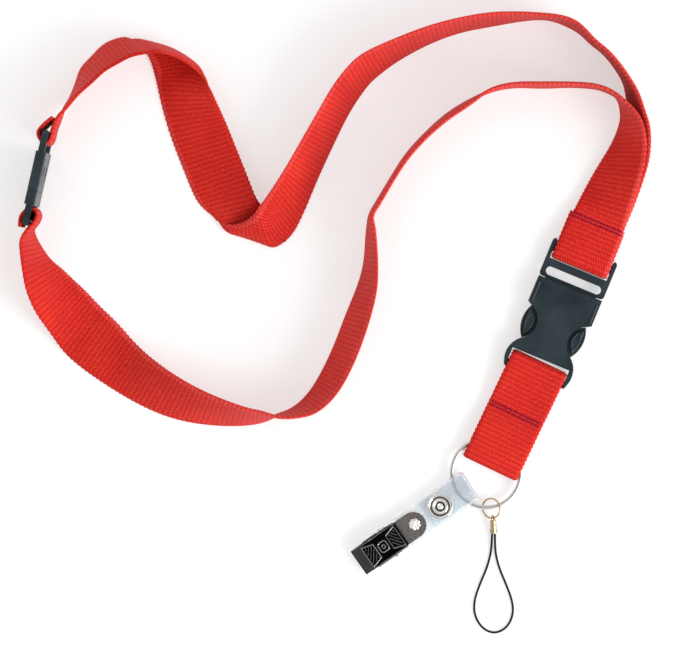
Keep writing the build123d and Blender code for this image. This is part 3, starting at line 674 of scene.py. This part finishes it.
turned_disc(
    "stud_cap",
    [(0.9, 3.0), (1.05, 3.95), (4.0, 3.95), (4.3, 4.05), (4.35, 4.25), (4.2, 4.45), (3.85, 4.5),
     (3.6, 4.4), (3.45, 4.2), (3.0, 4.15), (2.8, 4.25), (2.7, 4.5), (2.5, 4.7), (2.25, 4.72),
     (2.0, 4.6), (1.85, 4.4), (1.4, 4.35), (1.0, 4.4), (0.7, 4.6), (0.3, 4.7), (0.05, 4.71)],
    SNAP_X, "snap_cap", shaded=((2.75, 3.5), (0.95, 1.9)),
)
turned_disc(
    "rivet_star",
    [(0.8, 2.8), (0.85, 4.46), (1.7, 4.46), (1.95, 4.52), (1.9, 4.68), (1.6, 4.8), (1.25, 4.78),
     (1.0, 4.66), (0.8, 4.7), (0.5, 4.85), (0.2, 4.9), (0.04, 4.9)],
    RIVET_X, "clip_rivet", petals=0.16,
)


# ---- lever plate of the clip, with pressed panels ----
def ridge(distance, width, height):
    """Height of a rounded pressed line at a distance from its middle."""
    t = min(1.0, abs(distance) / width)
    return height * (1 - t * t) ** 2


def panel_height(x, y):
    """Pressed relief: two hatched trapezoids with rims, and a plain rounded square between them."""
    height = 0.0
    for centre, flip in ((31.6, 1), (40.8, -1)):
        u = (x - centre) * flip
        reach = 3.9 - 0.3 * (u + 2.0)
        inside = min(u + 2.1, 2.1 - u, reach - abs(y))
        height += ridge(inside - 0.1, 0.16, 0.12)
        if inside > 0.65:
            height += ridge((u * 0.8 + y * 0.6) % 0.95 - 0.475, 0.12, 0.09)
    corner = ((abs(x - BOSS_X) / 1.55) ** 4 + (abs(y) / 1.75) ** 4) ** 0.25
    height += ridge((corner - 1.0) * 1.6, 0.16, 0.12)
    height += ridge(math.hypot(x - BOSS_X, y) - 0.62, 0.16, 0.11)
    height += ridge(abs(y) - 4.45, 0.14, 0.1)
    return height


def lever_plate():
    """Vertices and faces of the pressed plate, which bends down to the jaw's lip."""
    rows = 150
    columns = 84
    corner_radius = 0.8
    middle = [(28.7, LEVER_TOP), (42.9, LEVER_TOP), (45.2, 3.9), (46.05, 2.9), (46.5, 2.8)]
    lengths = [0.0]
    for before, after in zip(middle, middle[1:]):
        lengths.append(lengths[-1] + math.dist(before, after))
    points = []
    for side in (1, -1):
        for i in range(rows + 1):
            target = lengths[-1] * i / rows
            k = max(j for j in range(len(middle) - 1) if lengths[j] <= target + 1e-9)
            t = (target - lengths[k]) / (lengths[k + 1] - lengths[k])
            x = middle[k][0] + (middle[k + 1][0] - middle[k][0]) * t
            z = middle[k][1] + (middle[k + 1][1] - middle[k][1]) * t
            half = 4.85 - 0.25 * i / rows
            corner = max(0.0, corner_radius - target)
            half -= corner_radius - math.sqrt(max(0.0, corner_radius ** 2 - corner ** 2))
            for j in range(columns + 1):
                y = half * (2 * j / columns - 1)
                rim = min(1.0, (half - abs(y)) / 0.35)
                drop = 0.18 * (1 - rim) ** 2
                relief = panel_height(x, y) if x < LEVER_FRONT and side == 1 else 0.0
                points.append((x, y, z + side * (0.23 - drop) + relief))
    size = (rows + 1) * (columns + 1)
    faces = []
    for i in range(rows):
        for j in range(columns):
            a = i * (columns + 1) + j
            quad = (a, a + columns + 1, a + columns + 2, a + 1)
            faces.append(quad)
            faces.append(tuple(size + v for v in reversed(quad)))
    rim = [i * (columns + 1) for i in range(rows + 1)]
    rim += [rows * (columns + 1) + j for j in range(1, columns + 1)]
    rim += [i * (columns + 1) + columns for i in range(rows - 1, -1, -1)]
    rim += [j for j in range(columns - 1, 0, -1)]
    for a, b in zip(rim, rim[1:] + rim[:1]):
        faces.append((a, size + a, size + b, b))
    return points, faces


def clip_skirts():
    """The two cheeks of the lever that hang round the pin."""
    points = []
    faces = []
    outline = [(31.4, 6.1), (31.4, 5.0), (32.9, 3.4)]
    for k in range(10):
        angle = math.radians(180 + 20 * k)
        outline.append((34.4 + 1.5 * math.cos(angle), 3.4 + 1.5 * math.sin(angle)))
    outline += [(39.0, 4.6), (39.0, 6.1)]
    for y in (-SKIRT_SIDE, SKIRT_SIDE):
        base = len(points)
        for offset in (-0.25, 0.25):
            points += [(x, y + offset, z) for x, z in outline]
        n = len(outline)
        faces.append(tuple(base + k for k in range(n)))
        faces.append(tuple(base + n + k for k in range(n - 1, -1, -1)))
        for k in range(n):
            m = (k + 1) % n
            faces.append((base + k, base + n + k, base + n + m, base + m))
    return points, faces


lever = piece("lever_plate", *lever_plate(), "clip_lever", "clip_steel", (STEEL, PRESSED), BADGE)
for polygon in lever.data.polygons:
    spot = BADGE.inverted() @ (lever.data.vertices[polygon.vertices[0]].co / MM)
    polygon.material_index = int(spot.x < LEVER_FRONT and spot.z > LEVER_TOP + 0.28)
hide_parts("clip_lever_jaw")
piece("lever_skirts", *clip_skirts(), "clip_lever", "clip_steel", (STEEL,), BADGE, smooth=False)


# ---- phone cord ----
def cord_piece():
    """Round cord along CORD_ROUTE."""
    curve = bpy.data.curves.new("phone_loop_cord", "CURVE")
    curve.dimensions = "3D"
    curve.resolution_u = 16
    curve.bevel_depth = CORD_DIAMETER / 2 * MM
    curve.bevel_resolution = 6
    spline = curve.splines.new("NURBS")
    spline.points.add(len(CORD_ROUTE) - 1)
    for control, point in zip(spline.points, CORD_ROUTE):
        control.co = (*(MM * value for value in point), 1.0)
    spline.order_u = 3
    spline.use_endpoint_u = True
    curve.use_fill_caps = True
    curve.materials.append(CORD)
    obj = bpy.data.objects.new("phone_loop_cord", curve)
    bpy.context.scene.collection.objects.link(obj)
    return obj


cord = cord_piece()
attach(cord, "phone_loop")
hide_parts("phone_cord")


# ---- raised rims on the release pads ----
def pad_rim(side):
    """Rounded bead on top of a pad, round a smaller leaf than the pad's own."""
    steps = 48
    sides = 8
    middle_x, middle_y, height = PAD_PLACE
    line = []
    for k in range(steps):
        angle = 2 * math.pi * k / steps
        x = middle_x + 1.25 * math.cos(angle) * (1 - 0.25 * abs(math.sin(angle)))
        line.append(Vector((side * x, middle_y + 3.1 * math.sin(angle), height)))
    points = []
    for k in range(steps):
        run = (line[(k + 1) % steps] - line[k - 1]).normalized()
        outward = run.cross(Vector((0, 0, 1)))
        for q in range(sides):
            angle = 2 * math.pi * q / sides
            rise = Vector((0, 0, RIM_RADIUS * math.sin(angle)))
            points.append(line[k] + outward * RIM_RADIUS * math.cos(angle) + rise)
    faces = []
    for k in range(steps):
        for q in range(sides):
            a = k * sides
            b = ((k + 1) % steps) * sides
            n = (q + 1) % sides
            faces.append((a + q, b + q, b + n, a + n))
    return points, faces


piece("pad_rim_left", *pad_rim(-1), "latch_left", "black_plastic", (PLASTIC,), BUCKLE)
piece("pad_rim_right", *pad_rim(1), "latch_right", "black_plastic", (PLASTIC,), BUCKLE)


# ---- moulded ribs on the buckle's collar ----
def moulded_rib(x, y, z):
    """Bar between the given (low, high) pairs, with its upper edges rounded off."""
    rise = 0.22
    levels = ((0.0, z[0]), (0.0, z[1] - rise), (0.3 * rise, z[1] - 0.3 * rise), (rise, z[1]))
    points = []
    for inset, height in levels:
        low_x, high_x = x[0] + inset, x[1] - inset
        low_y, high_y = y[0] + inset, y[1] - inset
        points += [(low_x, low_y, height), (high_x, low_y, height)]
        points += [(high_x, high_y, height), (low_x, high_y, height)]
    faces = [(3, 2, 1, 0), (12, 13, 14, 15)]
    for level in range(3):
        for k in range(4):
            n = (k + 1) % 4
            faces.append((level * 4 + k, level * 4 + n, level * 4 + 4 + n, level * 4 + 4 + k))
    return points, faces


COLLAR_RIBS = {
    "collar_rib_front": ((-10.9, 10.9), (-1.5, -0.7)),
    "collar_rib_left": ((-10.9, -10.1), (-9.0, -1.8)),
    "collar_rib_right": ((10.1, 10.9), (-9.0, -1.8)),
}
for name, (x, y) in COLLAR_RIBS.items():
    rib = moulded_rib(x, y, (5.85, 6.25))
    piece(name, *rib, "female_buckle", "black_plastic", (PLASTIC,), BUCKLE, smooth=False)


# ---- CAD pieces that keep their shape ----
FINISHES = {
    "male_frame": PLASTIC, "latch_arm_left": PLASTIC, "latch_arm_right": PLASTIC,
    "female_housing": PLASTIC,
    "breakaway_socket": PLASTIC, "breakaway_plug": PLASTIC, "snap_socket": NICKEL,
    "snap_stud": NICKEL, "snap_back": NICKEL, "clip_pin": NICKEL, "clip_spring": NICKEL,
    "clip_base_jaw": TAB, "jump_ring": BRASS, "crimp_sleeve": BRASS,
}
for node, material in FINISHES.items():
    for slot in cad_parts[node].material_slots:
        slot.material = material


# ---- floor, light and camera ----
def floor_material():
    """White table that glows a little, so that it stays white in the straps' shade."""
    s = Shader("floor", Roughness=0.9, Emission_Color=(1, 1, 1, 1), Emission_Strength=0.52)
    s.set("Base Color", s.ramp(s.noise(6.0, 2.0), 0.3, 0.7, ((0.46, 0.46, 0.46), (0.48, 0.48, 0.48))))
    return s.material


def area_light(name, energy, size, place):
    """Square lamp that faces the origin."""
    data = bpy.data.lights.new(name, "AREA")
    data.energy = energy
    data.size = size
    light = bpy.data.objects.new(name, data)
    light.location = place
    light.rotation_euler = (-Vector(place)).to_track_quat("-Z", "Y").to_euler()
    bpy.context.scene.collection.objects.link(light)


bpy.ops.mesh.primitive_plane_add(size=6.0, location=(0, 0, 0))
floor = bpy.context.object
floor.name = "floor"
floor.data.materials.append(floor_material())

# a white sky with a dark patch overhead, which flat metal mirrors to the camera
world = bpy.data.worlds.new("studio")
world.use_nodes = True
sky = world.node_tree.nodes
direction = sky.new("ShaderNodeTexCoord").outputs["Generated"]
height = sky.new("ShaderNodeSeparateXYZ")
world.node_tree.links.new(direction, height.inputs[0])
shade = sky.new("ShaderNodeMapRange")
shade.interpolation_type = "SMOOTHSTEP"
shade.inputs["From Min"].default_value = 0.86
shade.inputs["From Max"].default_value = 0.97
shade.inputs["To Min"].default_value = 1.0
shade.inputs["To Max"].default_value = 0.06
world.node_tree.links.new(height.outputs["Z"], shade.inputs["Value"])
world.node_tree.links.new(shade.outputs["Result"], sky["Background"].inputs["Color"])
sky["Background"].inputs["Strength"].default_value = 1.0
bpy.context.scene.world = world
bpy.context.scene.view_settings.view_transform = "Standard"
area_light("key", 9.5, 0.6, (0.80, -0.42, 0.52))
area_light("fill", 0.9, 0.7, (-0.25, 0.45, 1.1))

camera_data = bpy.data.cameras.new("camera")
camera_data.sensor_width = 36.0
camera_data.lens = CAMERA_LENS
camera_data.clip_end = 20.0
camera = bpy.data.objects.new("camera", camera_data)
camera.location = CAMERA_PLACE
bpy.context.scene.collection.objects.link(camera)
bpy.context.scene.camera = camera
